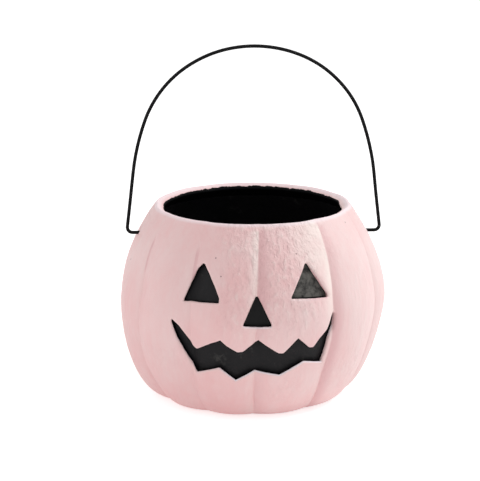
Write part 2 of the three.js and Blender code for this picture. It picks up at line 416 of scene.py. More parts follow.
def hole_outline(side):
    body = np.interp(hinge_height, skin_line[:, 1], skin_line[:, 0])
    around = np.arange(hole_points) / hole_points * 2 * math.pi
    along = face_radius * (side * math.pi / 2 + hole_radius * np.cos(around) / body)
    return np.stack([along, hinge_height + hole_radius * np.sin(around)], axis=1)


hole_outlines = [hole_outline(-1), hole_outline(1)]
print(f"Holes {2 * hole_radius:.1f} mm wide at {hinge_height:.1f} mm")

# %% [markdown]
# ## A skin with windows
#
# The wall is a grid of rows and columns bent into a closed section. A boolean cut would leave
# ragged triangles and hard edges, so each window gets a patch of the grid that is triangulated
# anew. Rings of points follow the outline and sink as they near it, which rounds the edge, and
# a Delaunay triangulation joins them to the grid. How round the edge is, and how far in it is
# pink, may change along an outline. Strips of faces line the cut through the pulp.

# %% A skin with windows
paint_reach = 8.0
paint_slope = 3.0
patch_margin = 2.5
kept_distance = 0.97
grid_clearance = 0.45 * outline_step


def distance_to(outline, points):
    """How far each point lies from a closed outline."""
    way = np.roll(outline, -1, axis=0) - outline
    gap = points[:, None] - outline
    share = np.clip((gap * way).sum(2) / (way * way).sum(1), 0, 1)
    return np.linalg.norm(gap - share[..., None] * way, axis=2).min(1)


def inside_of(outline, points):
    """Whether each point lies inside a closed outline."""
    x, y = points[:, :1], points[:, 1:]
    x0, y0 = outline[:, 0], outline[:, 1]
    x1, y1 = np.roll(x0, -1), np.roll(y0, -1)
    rise = np.where(y1 == y0, 1e-12, y1 - y0)
    crossed = ((y0 > y) != (y1 > y)) & (x < (x1 - x0) * (y - y0) / rise + x0)
    return crossed.sum(1) % 2 == 1


def away(outline):
    """The way out of a window, into the skin, at each point. The outline runs anticlockwise."""
    along = np.roll(outline, -1, axis=0) - np.roll(outline, 1, axis=0)
    along /= np.linalg.norm(along, axis=1, keepdims=True)
    return np.stack([along[:, 1], -along[:, 0]], axis=1)


# How the skin turns into the side of a window, at each point of the window's outline
Edge = namedtuple("Edge", "rounding pink_depth turns")


def edge_rings(outline, edge):
    """Rings of points round a window, their sinks and their paint, the outermost first."""
    rounding = np.broadcast_to(edge.rounding, len(outline))
    for turned in edge.turns:
        distance = rounding * (1 - math.sin(turned))
        sink = rounding * (1 - math.cos(turned))
        moved = outline + distance[:, None] * away(outline)
        paint = np.minimum(paint_reach, paint_slope * (edge.pink_depth - sink))
        clear = distance_to(outline, moved) > kept_distance * distance - 1e-9
        yield moved[clear], sink[clear], paint[clear]


class Skin:
    """A closed lobed body. A point is [lobes, row], and rows are [radius, height, crease, shift]."""

    def __init__(self, rows, paint):
        self.rows = np.array(rows)
        self.grid_rows = len(rows)
        row, column = np.indices((self.grid_rows, len(columns))).reshape(2, -1)
        self.points = np.stack([columns[column], row, 0 * row, np.array(paint)[row]], axis=1).tolist()
        self.opened = np.zeros((self.grid_rows - 1, len(columns)), bool)
        self.between = []
        self.faces = []

    def corner(self, row, column):
        return row * len(columns) + column % len(columns)

    def add(self, lobes=0.0, row=0.0, sink=0.0, paint=0.0):
        self.points.append([lobes, row, sink, paint])
        return len(self.points) - 1

    def row_at(self, height, stretch):
        """The row, with its fraction, where a stretch of the section reaches a height."""
        first, last = stretch
        places = np.arange(first, last + 1)
        heights = self.rows[first:last + 1, 1]
        order = np.argsort(heights)
        return np.interp(height, heights[order], places[order])

    def open_patch(self, outlines, stretch, kinds):
        """Cuts windows in a stretch, each with its kind of edge, and returns the rims of the cuts."""
        spacing = np.linalg.norm(np.diff(self.rows[stretch[0]:stretch[1] + 1, :2], axis=0), axis=1).mean()
        margin = max(np.max(kind.rounding) for kind in kinds) + patch_margin
        everything = np.concatenate(outlines)
        (left, low), (right, high) = everything.min(0) - margin, everything.max(0) + margin
        corners = np.array([(x, y) for x in (left, right) for y in (low, (low + high) / 2, high)])
        reached = lobes_of(corners[:, 0] / face_radius, corners[:, 1])
        first_column = np.searchsorted(columns, reached.min()) - 1
        last_column = np.searchsorted(columns, reached.max())
        ends = np.sort(self.row_at([low, high], stretch))
        first_row, last_row = math.floor(ends[0]), math.ceil(ends[1])
        self.opened[first_row:last_row, first_column:last_column] = True

        def flat(lobes, row):
            height = np.interp(row, np.arange(self.grid_rows), self.rows[:, 1])
            along = angle_of(np.asarray(lobes, float), height) * face_radius
            return np.stack([along, np.asarray(row) * spacing], axis=1)

        ids, ring_points, edges, window_edges, window_flats = [], [], [], [], []
        for outline, kind in zip(outlines, kinds):
            for moved, sinks, paints in edge_rings(outline, kind):
                lobes = lobes_of(moved[:, 0] / face_radius, moved[:, 1])
                rows = self.row_at(moved[:, 1], stretch)
                ring = [self.add(*values) for values in zip(lobes, rows, sinks, paints)]
                start = len(ids)
                ids += ring
                ring_points.append(flat(lobes, rows))
                edges += [(start + k, start + (k + 1) % len(ring)) for k in range(len(ring))]
            window_edges.append(ring)
            window_flats.append((ring_points[-1], ring_points[-len(kind.turns)]))
        spans = np.arange(first_column, last_column + 1), np.arange(first_row, last_row + 1)
        column, row = (table.ravel() for table in np.meshgrid(*spans))
        grid = flat(columns[column], row)
        rim = (column == first_column) | (column == last_column) | (row == first_row) | (row == last_row)
        clear = [
            ~inside_of(outermost, grid) & (distance_to(outermost, grid) >= grid_clearance)
            for _, outermost in window_flats
        ]
        keep = rim | np.all(clear, axis=0)
        ids += [self.corner(r, c) for r, c in zip(row[keep], column[keep])]
        points = np.concatenate(ring_points + [grid[keep]])
        found, _, triangles, origins, _, _ = delaunay_2d_cdt(
            [Vector(p) for p in points.tolist()], edges, [], 0, 1e-6)
        assert all(origins), "the rings of a window cross each other"
        triangles = np.array(triangles)
        middles = np.array([tuple(p) for p in found])[triangles].mean(1)
        within = np.any([inside_of(edge, middles) for edge, _ in window_flats], axis=0)
        names = np.array([ids[o[0]] for o in origins])
        self.faces += names[triangles[~within]].tolist()
        return window_edges

    def join(self, outer, inner, shares):
        """A strip of faces from an edge of the outer skin in to the same edge of the inner one,
        with rings between them at the given shares of the way."""
        chains = [outer]
        for share in shares:
            chain = [self.add() for _ in outer]
            self.between += [(new, a, b, share) for new, a, b in zip(chain, outer, inner)]
            chains.append(chain)
        chains.append(inner)
        for near, far in zip(chains, chains[1:]):
            self.faces += [[near[k - 1], near[k], far[k], far[k - 1]] for k in range(len(near))]

    def cut(self, outlines, stretches, kinds, shares):
        """Cuts windows right through, from an outer stretch to an inner one, and lines the cuts."""
        rims = [self.open_patch(outlines, *end) for end in zip(stretches, kinds)]
        for outer, inner in zip(*rims):
            self.join(outer, inner, shares)

    def finish(self, name, raised):
        """The mesh, with the creases and the slip still to come, as attributes of its points."""
        turn_about = [(0, 0), (0, 1), (1, 1), (1, 0)]
        for row, column in zip(*np.nonzero(~self.opened)):
            self.faces.append([self.corner(row + r, column + c) for r, c in turn_about])
        lobes, row, sink, paint = np.array(self.points, float).T
        places = np.arange(self.grid_rows)
        radius, height, crease, shift = (np.interp(row, places, c) for c in self.rows.T)
        way = np.gradient(self.rows[:, :2], axis=0)
        way /= np.linalg.norm(way, axis=1, keepdims=True)
        radius = radius - sink * np.interp(row, places, way[:, 1])
        height = height + sink * np.interp(row, places, way[:, 0])
        raised = np.interp(row, places, raised)
        table = np.stack([radius, lobes, height, crease, shift, raised, paint], axis=1)
        for new, a, b, share in self.between:
            table[new] = table[a] * (1 - share) + table[b] * share
        middle = len(table)
        table = np.concatenate([table, [[0, 0, self.rows[end, 1], 0, 0, 0, 0] for end in (0, -1)]])
        radius, lobes, height, crease, shift, raised, paint = table.T
        angle = angle_of(lobes, height)
        beside = np.exp(-((lobes - deep_crease_lobe) / 0.5) ** 2)
        deeper = deep_crease_gain * beside * (1 - smooth_rise(height, *deep_crease_fade))
        crease = crease * (1 + deeper)
        points = np.stack([radius * np.sin(angle), -radius * np.cos(angle), height], axis=1)
        count = len(columns)
        last = (self.grid_rows - 1) * count
        self.faces += [[middle, (k + 1) % count, k] for k in range(count)]
        self.faces += [[middle + 1, last + k, last + (k + 1) % count] for k in range(count)]
        mesh = bpy.data.meshes.new(name)
        mesh.from_pydata((points * MM).tolist(), [], self.faces)
        mesh.update()
        kept = {
            "lobes": lobes, "crease_depth": crease * MM, "side_slip": shift * MM,
            "raised": raised, "paint": paint,
        }
        for label, values in kept.items():
            attribute = mesh.attributes.new(label, "FLOAT", "POINT")
            attribute.data.foreach_set("value", values.astype(np.float32))
        return placed(name, mesh)


print("Skin tools ready")

# %% [markdown]
# ## Trees of nodes
#
# A Geometry Nodes tree is built once and run on several pieces with its own inputs each time.
# It ends in Realize Instances and Set Material. Its result becomes a plain mesh and the modifier
# goes.

# %% Trees of nodes
sharp_from = 50


def new_tree(name, numbers):
    """A Geometry Nodes tree, and its inputs by name: the given numbers and a material."""
    group = bpy.data.node_groups.new(name, "GeometryNodeTree")
    group.interface.new_socket("Geometry", in_out="OUTPUT", socket_type="NodeSocketGeometry")
    kinds = {"Geometry": "Geometry", **dict.fromkeys(numbers, "Float"), "Material": "Material"}
    for label, kind in kinds.items():
        group.interface.new_socket(label, in_out="INPUT", socket_type=f"NodeSocket{kind}")
    tree = Tree(group)
    entry = group.nodes.new("NodeGroupInput")
    return tree, {socket.name: Output(tree, socket) for socket in entry.outputs if socket.name}


def end_tree(tree, geometry, material):
    whole = tree.node("GeometryNodeRealizeInstances", {"Geometry": geometry})
    painted = tree.node("GeometryNodeSetMaterial", {"Geometry": whole, "Material": material})
    end = tree.nodes.new("NodeGroupOutput")
    tree.tree.links.new(painted.socket, end.inputs[0])


def run_tree(piece, tree, values):
    """Runs a tree on a piece and leaves the piece with the plain mesh that comes out."""
    modifier = piece.modifiers.new(tree.tree.name, "NODES")
    modifier.node_group = tree.tree
    sockets = {s.name: s.identifier for s in tree.tree.interface.items_tree if s.in_out == "INPUT"}
    for label, value in values.items():
        modifier[sockets[label]] = value
    evaluated = piece.evaluated_get(bpy.context.evaluated_depsgraph_get())
    mesh = bpy.data.meshes.new_from_object(evaluated)
    mesh.name = piece.name
    piece.modifiers.remove(modifier)
    piece.data = mesh
    mesh.shade_smooth()
    mesh.set_sharp_from_angle(angle=math.radians(sharp_from))
    mesh.calc_loop_triangles()
    print(piece.name, "has", len(mesh.loop_triangles), "triangles")
    return piece


print("Tree tools ready")

# %% [markdown]
# ## Pressing the lobes
#
# Shell and lining have the same twelve lobes, so one tree presses them both. It makes a narrow
# rounded V at each crease, pinched at the bottom, most of all in the middle of the face, and
# draws each point in by its own crease depth. It also slips the heel to one side and makes the
# surface a little uneven, as wet pulp dries. It keeps two values for the painted shade and
# highlight of the creases: how deep a point lies in a crease, and on which flank of it.

# %% Pressing the lobes
pressing, given = new_tree("Press the lobes", [
    "Softness", "Crest", "Pinch", "Pinch sharpness", "Unevenness", "Lumps in a metre",
])


def stored(tree, name):
    return tree.node("GeometryNodeInputNamedAttribute", {"Name": name}, {"data_type": "FLOAT"})


def scaled(tree, vector, length):
    return tree.node("ShaderNodeVectorMath", {"Vector": vector, "Scale": length}, {"operation": "SCALE"})


def rise_at(sine_squared):
    return (given["Softness"] ** 2 + sine_squared) ** (given["Crest"] * 0.5)


place = pressing.node("GeometryNodeInputPosition")
across, depthways, _ = pressing.split(place)
half_turns = stored(pressing, "lobes") * math.pi
sine = half_turns.math("SINE", half_turns)
crest_rise = rise_at(1)
groove = (crest_rise - rise_at(sine * sine)) / (crest_rise - rise_at(0))

steepness = sine.math("ABSOLUTE", sine) * given["Pinch sharpness"] * -1
kept_sharp = across.step(-0.07, 0.0) * (1 - across.step(0.07, 0.085) * 0.8) * 0.5 + 0.5
pinch = sine.math("EXPONENT", steepness) * given["Pinch"] * kept_sharp * stored(pressing, "raised")
outward = pressing.vector("NORMALIZE", pressing.node("ShaderNodeCombineXYZ", {0: across, 1: depthways}))
pressed = scaled(pressing, outward, (groove + pinch) * stored(pressing, "crease_depth") * -1)
lumps = pressing.noise(place, given["Lumps in a metre"], detail=3.0) - 0.5
swelling = lumps * given["Unevenness"] * stored(pressing, "raised")
swollen = scaled(pressing, pressing.node("GeometryNodeInputNormal"), swelling)
slipped = pressing.node("ShaderNodeCombineXYZ", {0: stored(pressing, "side_slip")})
offset = pressing.vector("ADD", pressing.vector("ADD", pressed, swollen), slipped)

full_turns = half_turns * 2
flank = full_turns.math("SINE", full_turns)
kept = given["Geometry"]
for name, value in {"groove": groove, "flank": flank}.items():
    kept = pressing.node("GeometryNodeStoreNamedAttribute", {
        "Geometry": kept, "Name": name, "Value": value,
    }, {"data_type": "FLOAT", "domain": "POINT"})
moved = pressing.node("GeometryNodeSetPosition", {"Geometry": kept, "Offset": offset})
end_tree(pressing, moved, given["Material"])


def press_lobes(piece, values):
    return run_tree(piece, pressing, {
        "Crest": crest_flatness,
        "Pinch sharpness": pinch_sharpness,
        "Lumps in a metre": lumps_in_a_metre,
        **values,
    })


print("Lobes tree:", len(pressing.nodes), "nodes")

# %% [markdown]
# ## Pink paint
#
# The outside is matte paint, brushed on over rough pulp. Long soft strokes run up and down the
# lobes, and a fine hatch of short ones lies over them. On the face the creases are lined with a
# painted shade in mauve and a painted highlight in cream, and the forehead is roughly brushed,
# with painted shade in the pits of its hatch and painted highlight on its tops. The lower edges of
# the windows and the crest of the rim carry a pale lilac painted highlight, and the wash is paler
# to the right and higher up, a painted light.
#
# The black paint of the inside laps over the edge of the mouth and of each window with a torn
# edge. So one material mixes both paints by a value kept on the mesh: how far a point lies on the
# pink side of that edge. The masks below are placed by height and by way to the side, in metres,
# and by angle round the bucket, in radians.

# %% Pink paint
def with_nodes(made):
    """A new material or world, and its tree of nodes, which is empty."""
    made.use_nodes = True
    made.node_tree.nodes.clear()
    return made, Tree(made.node_tree)


def end_shading(tree, shader, kind="ShaderNodeOutputMaterial"):
    end = tree.nodes.new(kind)
    tree.tree.links.new(shader.socket, end.inputs["Surface"])


def kept_value(tree, name):
    return tree.node("ShaderNodeAttribute", settings={"attribute_name": name}, output="Fac")


def coordinates(tree, kind):
    return tree.node("ShaderNodeTexCoord", output=kind)


def stretched(tree, place, scale, turn=(0, 0, 0)):
    return tree.node("ShaderNodeMapping", {"Vector": place, "Rotation": turn, "Scale": scale})


def bump(tree, strength, distance, height):
    return tree.node("ShaderNodeBump", {"Strength": strength, "Distance": distance, "Height": height})


def paint(tree, color, roughness, shine, normal):
    return tree.node("ShaderNodeBsdfPrincipled", {
        "Base Color": color, "Roughness": roughness, "Specular IOR Level": shine, "Normal": normal,
    })


pink_paint, pink = with_nodes(bpy.data.materials.new("pink_paint"))
here = coordinates(pink, "Object")
sideways, depthways, height = pink.split(here)
around = sideways.math("ARCTAN2", sideways, depthways * -1)
faces_up = pink.split(coordinates(pink, "Normal"))[2]
kept_paint = kept_value(pink, "paint")
deep = kept_value(pink, "groove")
flank = kept_value(pink, "flank")

strokes_wide = pink.noise(stretched(pink, here, (1, 1, 0.2)), 70)
strokes_fine = pink.noise(stretched(pink, here, (1, 1, 0.22), (0, 0.12, 0)), 330, detail=3.0)
blotches = pink.noise(here, 22)
hatch = pink.noise(stretched(pink, here, (1, 1, 0.5), (0, 0.5, 0)), 260, detail=3.0, roughness=0.55)
grain = pink.noise(here, 1300)
tear = pink.noise(here, 210, detail=4.0, roughness=0.65)

# Below, mauve is mostly a painted shade, and cream and lilac are painted highlights
pale_tone = (0.83, 0.68, 0.665, 1)
rose_tone = (0.82, 0.46, 0.46, 1)
mauve_tone = (0.70, 0.40, 0.41, 1)
cream_tone = (0.89, 0.79, 0.74, 1)
lilac_tone = (0.94, 0.82, 0.86, 1)
speck_tone = (0.3, 0.17, 0.17, 1)
black_tone = (0.002, 0.002, 0.0025, 1)

# The wash is pinkest left of the middle, and paler to the right and higher up. Its noise is tone that
# differs at random; its paleness to the right and higher up is painted light, and its deeper pink lower down
# is painted shade.
wash_and_painted_light = (blotches - 0.5) * 0.55 + (strokes_wide - 0.5) * 0.45 + (strokes_fine - 0.5) * 0.3
wash_and_painted_light = wash_and_painted_light + sideways * 1.9 + sideways * sideways * 17 + height * 1.2 + 0.31
washed_and_lit = pink.mix(wash_and_painted_light, rose_tone, pale_tone)

# The flanks of the creases: a painted shade in mauve on the right flank, and a painted highlight in cream on
# the left flank, as if lit from the right
front = around.step(-0.3, -0.06) * around.fall(0.62, 0.95)
below_rim = height.fall(0.150, 0.153)
above_nose = (height.step(0.078, 0.095) * 0.6 + 0.4).larger(around.step(0.25, 0.4))
broken = blotches.step(0.42, 0.62) * 0.5 + 0.5
shaded_flank = flank.step(0.0, 0.1) * deep.step(0.3, 0.85) * (front * 0.62 + 0.08)
shaded_flank = shaded_flank * below_rim * above_nose
shaded_flank = shaded_flank * (1 - around.step(0.3, 0.45) * height.step(0.07, 0.11) * 0.45)
highlit_flank = flank.fall(-0.05, 0.0) * deep.step(0.38, 0.9) * (front * 0.8 + 0.08)
highlit_flank = highlit_flank * below_rim * broken * (height.step(0.075, 0.1) * 0.8 + 0.2)

# A fine mauve line in the creases far left, and a painted highlight, a cream cloud, above the right eye
left_line = around.fall(-0.5, -0.4) * height.step(0.108, 0.116) * height.fall(0.132, 0.14)
left_line = left_line * deep.step(0.89, 0.96) * 0.6
highlight_cloud = around.step(0.22, 0.4) * around.fall(0.56, 0.64) * height.step(0.105, 0.14) * broken * 0.8

# The edges of the windows and of the rim: painted highlights in cream on the cut edges, except far right,
# and in lilac on the lower edges that face up and on the crest of the rim; a painted shade in mauve on the
# cut edges far right
at_the_rim = height.step(0.1445, 0.146)
on_the_face = 1 - at_the_rim
right_side = sideways.step(0.034, 0.044)
cut_edge = kept_paint.fall(4.0, 6.0) * on_the_face
cut_edge_highlight = cut_edge * (1 - right_side) * 0.16
cut_edge_shade = cut_edge * right_side * height.step(0.098, 0.1) * 0.8
lower_edge_highlight = kept_paint.fall(5.2, 7.2) * on_the_face * faces_up.step(0.15, 0.5)
lower_edge_highlight = lower_edge_highlight * (1 - height.step(0.07, 0.1) * 0.8) * (sideways.step(-0.035, -0.02) * 0.7 + 0.3)
rim_crest_highlight = height.step(0.1525, 0.1548) * 0.6

# The rough forehead, with a painted highlight in cream on the tops and a painted shade in mauve in the pits
# of its hatch
forehead = sideways.step(-0.045, -0.015) * sideways.fall(0.035, 0.06) * height.step(0.05, 0.1)
forehead = forehead * depthways.fall(-0.05, 0.0)
rough_patch = forehead.larger(pink.noise(here, 16, detail=1.0).step(0.5, 0.66) * 0.4)
pit_shade = hatch.fall(0.3, 0.5) * rough_patch * 0.3
top_highlight = hatch.step(0.52, 0.72) * rough_patch * 0.3

skin_tone = pink.mix(highlit_flank.larger(top_highlight).larger(highlight_cloud).larger(cut_edge_highlight), washed_and_lit, cream_tone)
skin_tone = pink.mix(shaded_flank.larger(left_line).larger(pit_shade).larger(cut_edge_shade), skin_tone, mauve_tone)
skin_tone = pink.mix(lower_edge_highlight.larger(rim_crest_highlight), skin_tone, lilac_tone)

# Dark specks, each by its angle in degrees and its height in millimetres
speck_radius = 0.4 * MM
for angle, level in [(-20.5, 131.9), (-17.0, 119.4), (18.1, 134.6), (-76.6, 115.3), (58.0, 148.5)]:
    aside = (around - math.radians(angle)) * belly_radius * MM
    above = height - level * MM
    speck = (aside * aside + above * above).fall(speck_radius ** 2, 3 * speck_radius ** 2)
    skin_tone = pink.mix(speck, skin_tone, speck_tone)

# The torn edge of the black, which lies higher at the back and lower on the right
far_lap = depthways.step(0.0, 0.075) * 1.7
right_lap = around.step(0.8, 1.2) * around.fall(1.6, 1.8) * 3.5
side = kept_paint + (tear - 0.5) * (5.0 - at_the_rim * 1.5) + at_the_rim * (right_lap - far_lap)
is_pink = side.step(-0.22, 0.22)
relief = hatch * (rough_patch * 1.2 + 0.1) + strokes_fine * 0.15 + grain * 0.04 + is_pink * 0.2
bumped = bump(pink, 0.9, 0.0024, relief)
pink_skin = paint(pink, skin_tone, 0.44 + hatch * 0.14, 0.45, bumped)
black_skin = paint(pink, black_tone, 0.6, 0.03, bumped)
end_shading(pink, pink.node("ShaderNodeMixShader", {0: is_pink, 1: black_skin, 2: pink_skin}))
print("Pink paint:", len(pink.nodes), "nodes")

# %% [markdown]
# ## Black paint
#
# The inside is brushed with dull black. It drinks nearly all light, and the strokes and the lumps
# of the pulp give it a grey sheen where it faces the lamps, with grey scuffs here and there. Behind
# the right eye a mottled grey patch is a painted sheen, and behind the nose the colour is darkest,
# a painted shade.

# %% Black paint
black_paint, black = with_nodes(bpy.data.materials.new("black_paint"))
here = coordinates(black, "Object")
sideways, depthways, height = black.split(here)
facing = black.split(coordinates(black, "Normal"))[1]
brush = black.noise(stretched(black, here, (1, 1, 0.35), (0.3, 0.5, 0)), 210, detail=4.0)
lumps = black.noise(here, 120, detail=3.0)
scuffs = black.noise(here, 60, detail=5.0, roughness=0.7).step(0.58, 0.7) * 0.2

dull_tone = (0.006, 0.0055, 0.0065, 1)
scuff_and_sheen_tone = (0.13, 0.125, 0.115, 1)
nose_shade_tone = (0.001, 0.001, 0.001, 1)
in_front = depthways.fall(-0.06, -0.05) * facing.fall(-0.4, 0.0)
# A painted sheen: a mottled grey patch in the colour of the floor behind the right eye
sheen_patch = sideways.step(0.014, 0.03) * height.step(0.088, 0.1) * in_front
sheen_patch = sheen_patch * black.noise(here, 190, detail=3.0, roughness=0.6).step(0.24, 0.69)
# A painted shade: the colour is darkest on the floor behind the nose
nose_shade = (sideways * sideways).fall(0.00025, 0.0004) * height.step(0.064, 0.068) * in_front
color = black.mix(scuffs.larger(sheen_patch), dull_tone, scuff_and_sheen_tone)
color = black.mix(nose_shade, color, nose_shade_tone)
bumped = bump(black, 0.6, 0.0012, lumps + brush * 0.35)
end_shading(black, paint(black, color, 0.42 + brush * 0.2, 0.2, bumped))
print("Black paint:", len(black.nodes), "nodes")

# %% [markdown]
# ## Black wire
#
# The bail is steel wire with a thin satin coat. Its shine breaks up a little along the wire.

# %% Black wire
black_wire, wire = with_nodes(bpy.data.materials.new("black_wire"))
here = coordinates(wire, "Object")
coat = wire.noise(here, 380, detail=3.0)
worn = wire.noise(here, 90, detail=4.0).step(0.55, 0.67) * 0.5
color = wire.mix(worn, (0.004, 0.004, 0.0045, 1), (0.012, 0.011, 0.011, 1))
bumped = bump(wire, 0.3, 0.0002, coat)
end_shading(wire, paint(wire, color, 0.5 + coat * 0.16, 0.12, bumped))
print("Black wire:", len(wire.nodes), "nodes")

# %% [markdown]
# ## The pulp shell
#
# The shell's section runs in one closed line: out over the base, up the skin, over the rim,
# down inside the lip, down the inner side of the wall and in over the floor. The rim is a band
# that falls towards the mouth between two rounded edges. The windows are cut through from the
# outer skin to the inner one. Far right on the face they have a bevel on their right.

# %% The pulp shell
outer_spacing = 1.9
inner_spacing = 5.0
disc_shares = np.linspace(0.04, 1, 11)[:-1]


def disc_rows(edge, height):
    """Rows of a flat round face, from its middle out to an edge that is a row of a skin."""
    return [[share * edge[0], height, share * edge[2], share * edge[3]] for share in disc_shares]


def curve_rows(*bent):
    """Rows of the rim, on a curve."""
    return [[*place, crease_depth_at_rim, 0.0] for place in curve(*bent)[1:]]


outer = skin_rows(0, bucket_height - rim_rounding, outer_spacing, 0)
inner = skin_rows(0, lip_underside, inner_spacing, wall_thickness)[::-1]
lip_foot = skin_rows(0, lip_underside, inner_spacing, lining_inside)[-1]
band_low = bucket_height - rim_fall
rim_curves = [
    ((rim_radius, bucket_height + 0.1), (rim_radius - rim_rounding, bucket_height - 0.1), 5),
    ((mouth_radius + 3.4, bucket_height - 1.2), (mouth_radius + rim_rounding, band_low), 4),
    ((mouth_radius, band_low - 0.5), (mouth_radius, band_low - 1.6), 4),
]
starts = [outer[-1][:2]] + [end for _, end, _ in rim_curves]
edge_rows, band_rows, mouth_rows = (curve_rows(start, *c) for start, c in zip(starts, rim_curves))
lip_rows = [list(np.array(mouth_rows[-1]) * (1 - t) + lip_foot * t) for t in (0.25, 0.5, 0.75, 1)]
base_rows = disc_rows(outer[0], 0)
floor_rows = disc_rows(inner[-1], wall_thickness)[::-1]
rim_rows = edge_rows + band_rows + mouth_rows + lip_rows

shell_rows = base_rows + outer.tolist() + rim_rows + inner.tolist() + floor_rows
outer_first = len(base_rows)
rim_first = outer_first + len(outer)
lip_first = rim_first + len(edge_rows) + len(band_rows)
inner_first = rim_first + len(rim_rows)
stretches = (outer_first, rim_first - 1), (inner_first, inner_first + len(inner) - 1)

black_lap = 0.3
rim_table = np.array(rim_rows)
shell_paint = np.full(len(shell_rows), paint_reach)
shell_paint[rim_first:inner_first] = np.minimum(rim_table[:, 0] - mouth_radius - black_lap, paint_reach)
shell_paint[lip_first:inner_first] = rim_table[lip_first - rim_first:, 1] - band_low - black_lap
shell_paint[inner_first:] = -paint_reach

shell_raised = np.zeros(len(shell_rows))
shell_raised[outer_first:rim_first] = smooth_rise(outer[:, 1], 1.0, 12.0)
shell_raised[rim_first:lip_first + 2] = 1.0

edge_rounding = 1.5
bevel_width = 2.0
pink_edge_depth = 1.75
bevel_pink = 1.7
edge_turns = np.linspace(0, math.pi / 2, 6)
cut_turns = [math.pi / 2]


def window_edge(outline):
    """Far right on the face, the right-hand side of a window is bevelled and pink farther in.
    The bevel narrows towards an eye's tip and towards the mouth's end."""
    along, level = outline[:, 0], outline[:, 1] - face_datum
    far_right = np.clip(away(outline)[:, 0], 0, 1) * smooth_rise(along, 36, 44)
    narrowed = (1 - 0.6 * smooth_rise(level, 38, 46)) * (1 - 0.5 * smooth_rise(along, 50, 56))
    rounding = edge_rounding + bevel_width * narrowed * far_right
    return Edge(rounding, pink_edge_depth + bevel_pink * far_right, edge_turns)


shell = Skin(shell_rows, shell_paint)
face = list(face_outlines.values())
front_kinds = [window_edge(outline) for outline in face]
back_kinds = [Edge(0.0, kind.pink_depth - wall_thickness, cut_turns) for kind in front_kinds]
shell.cut(face, stretches, (front_kinds, back_kinds), (0.08, 0.35, 0.7))
drilled = [Edge(0.35, 2.5, np.linspace(0, math.pi / 2, 3))]
drilled_inside = [Edge(0.0, -1.5, cut_turns)]
for hole in hole_outlines:
    shell.cut([hole], stretches, (drilled, drilled_inside), (0.3, 0.6))

pulp = press_lobes(shell.finish("moulded_pulp_shell", shell_raised), {
    "Softness": crease_softness, "Pinch": crease_pinch, "Unevenness": 1.0 * MM, "Material": pink_paint,
})
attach(pulp, "bucket")
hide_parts("pulp_shell")

# %% [markdown]
# ## The black lining
#
# The lining follows the wall inside, ends under the lip and is what the eyes, the nose and the
# mouth show. Its inner side is about as uneven as the outside of the shell.

# %% The black lining
lining_spacing = 3.0
lining_top = lip_underside - fit_gap
lining_out = skin_rows(0, lining_top, lining_spacing, lining_outside)
lining_in = skin_rows(0, lining_top, lining_spacing, lining_inside)[::-1]
under = disc_rows(lining_out[0], lining_outside)
over = disc_rows(lining_in[-1], lining_inside)[::-1]
lining_rows = under + lining_out.tolist() + lining_in.tolist() + over
lining = Skin(lining_rows, np.zeros(len(lining_rows)))
in_first = len(under) + len(lining_out)
stretches = (len(under), in_first - 1), (in_first, in_first + len(lining_in) - 1)
plain_cut = [Edge(0.0, 0.0, cut_turns)]
for hole in hole_outlines:
    lining.cut([hole], stretches, (plain_cut, plain_cut), [])

lining_raised = np.zeros(len(lining_rows))
lining_raised[in_first + 2:] = 1.0
painted = press_lobes(lining.finish("black_painted_lining", lining_raised), {
    "Softness": lining_softness, "Pinch": 0.0, "Unevenness": 1.2 * MM, "Material": black_paint,
})
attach(painted, "bucket")
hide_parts("black_lining")

# %% [markdown]
# ## The wire bail
#
# The wire is laid out as it is bent by hand: straight lengths and bends, from the crown of the
# handle down to the tail inside. The shoulder's radius and the length of the leg follow from
# where the holes are. A tree then thickens that line to a round wire, and lets it waver a little.

# %% The wire bail
bail_rise = 150.5
crown_radius = 96.5
crown_half_angle = 32
shoulder_lean = 19.7
soft_bend_radius = 194
leg_lean = 6.9
leg_stand_off = 10.7
corner_radius = 4.2
inner_bend_radius = 3
tail_stand_off = 6.2
tail_length = 8
bail_slide = 0.8
degrees_per_step = 2.5
straight_step = 3.0
wire_sides = 20


def radius_in_crease(height, depth):
    rows = skin_rows(belly_height, bucket_height, 0.5, depth)
    return float(np.interp(height, rows[:, 1], rows[:, 0] - rows[:, 2]))


def arc(radius, start, end):
    """The way across and down along an arc, from one heading to another."""
    return radius * np.array([math.sin(end) - math.sin(start), math.cos(start) - math.cos(end)])


class WireLine:
    """A line of [across, up, heading]. The heading is 0 to the right and grows clockwise."""

    def __init__(self, across, up):
        self.points = [(across, up, 0.0)]

    def straight(self, length):
        across, up, heading = self.points[-1]
        parts = max(1, math.ceil(length / straight_step))
        for way in np.linspace(0, length, parts + 1)[1:]:
            self.points.append((across + way * math.cos(heading), up - way * math.sin(heading), heading))

    def bend(self, radius, heading):
        across, up, start = self.points[-1]
        turn = heading - start
        count = math.ceil(abs(turn) / math.radians(degrees_per_step))
        for now in np.linspace(start, heading, count + 1)[1:]:
            right, down = arc(math.copysign(radius, turn), start, now)
            self.points.append((across + right, up - down, now))


